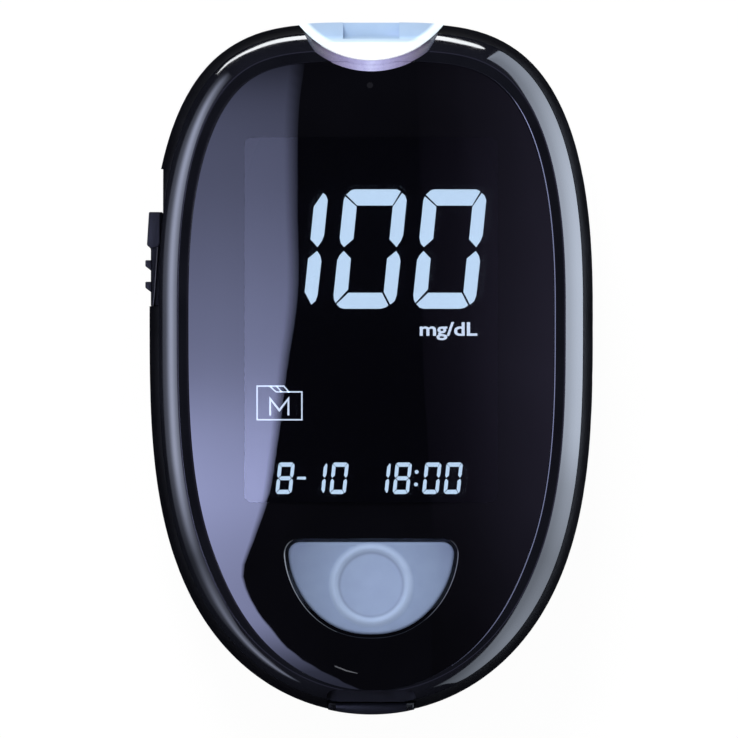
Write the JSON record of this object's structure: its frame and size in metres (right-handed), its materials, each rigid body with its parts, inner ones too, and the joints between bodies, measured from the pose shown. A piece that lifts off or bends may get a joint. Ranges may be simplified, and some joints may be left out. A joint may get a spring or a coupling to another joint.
{
  "type": "blood glucose meter",
  "caption": "Egg-shaped handheld blood glucose meter with a glossy domed display window, half-moon button, lit test strip port, thumb ejector, data port flap and battery door.",
  "frame": {"origin": "centre of the flat back, on the outer face of the battery door", "axes": "+Z out of the display face, +Y towards the test strip port, +X to the right as the display is read"},
  "size_m": [0.0625, 0.0961, 0.0258],
  "materials": {
    "case_dark": "satin dark navy-black moulded plastic",
    "bezel_gloss": "glossy black moulded plastic",
    "window": "smoked glossy window, slightly domed",
    "black_print": "flat black print",
    "lcd": "negative display glass, pale digits on black",
    "light_panel": "white light panel",
    "white_plastic": "white moulded holder",
    "board": "green board lacquer",
    "chip": "black epoxy package",
    "component": "small ceramic parts with plated ends",
    "bright_steel": "nickel-plated steel",
    "screw_steel": "blackened steel",
    "button_plastic": "blue-grey translucent satin plastic",
    "light_guide": "clear blue-white light guide, lit",
    "connector_plastic": "cream connector plastic",
    "contact_gold": "gold-plated springs",
    "cell_wrap": "printed battery sleeve",
    "grey_rubber": "grey silicone rubber",
    "led": "white light-emitting diode"
  },
  "bodies": {
    "case": {"back_cover": "case_dark", "front_cover": "bezel_gloss", "display_lens": "window", "lens_mask": "black_print", "lcd_glass": "lcd", "lcd_backlight": "light_panel", "lcd_frame": "white_plastic", "lcd_connector": "grey_rubber", "main_board": "board", "processor_chip": "chip", "measuring_chip": "chip", "board_components": "component", "clock_crystal": "bright_steel", "buzzer": "chip", "main_switch": "chip", "strip_connector": "connector_plastic", "strip_contacts": "contact_gold", "port_light_guide": "light_guide", "port_leds": "led", "ejector_spring": "bright_steel", "usb_socket": "bright_steel", "usb_tongue": "chip", "battery_cell_1": "cell_wrap", "battery_cell_2": "cell_wrap", "battery_springs": "bright_steel", "battery_contacts": "bright_steel", "case_screws": "screw_steel", "board_screws": "bright_steel", "set_switch": "chip"},
    "button": {"main_button": "button_plastic", "switch_plunger": "connector_plastic"},
    "ejector": {"ejector_knob": "case_dark", "ejector_carriage": "case_dark"},
    "door": {"battery_door": "case_dark"},
    "port_flap": {"data_port_cover": "case_dark"},
    "set_key": {"set_button": "grey_rubber"}
  },
  "joints": [
    {"name": "main_button_press", "type": "slide", "parent": "case", "child": "button", "axis": [0, 0, -1], "range_m": [0, 0.0006], "stiffness_N_per_m": 1000, "springref_m": -0.0005},
    {"name": "ejector_slide", "type": "slide", "parent": "case", "child": "ejector", "axis": [0, 1, 0], "range_m": [0, 0.0055], "stiffness_N_per_m": 200, "springref_m": -0.003, "deforming": ["ejector_spring"]},
    {"name": "battery_door_hinge", "type": "hinge", "parent": "case", "child": "door", "pos_m": [0, 0.0195, 0.00075], "axis": [1, 0, 0], "range_deg": [0, 80]},
    {"name": "port_cover_hinge", "type": "hinge", "parent": "case", "child": "port_flap", "pos_m": [0, -0.0464, 0.0129], "axis": [1, 0, 0], "range_deg": [0, 90]},
    {"name": "set_button_press", "type": "slide", "parent": "case", "child": "set_key", "axis": [0, 0, 1], "range_m": [0, 0.0003], "stiffness_N_per_m": 1000, "springref_m": -0.0003}
  ]
}
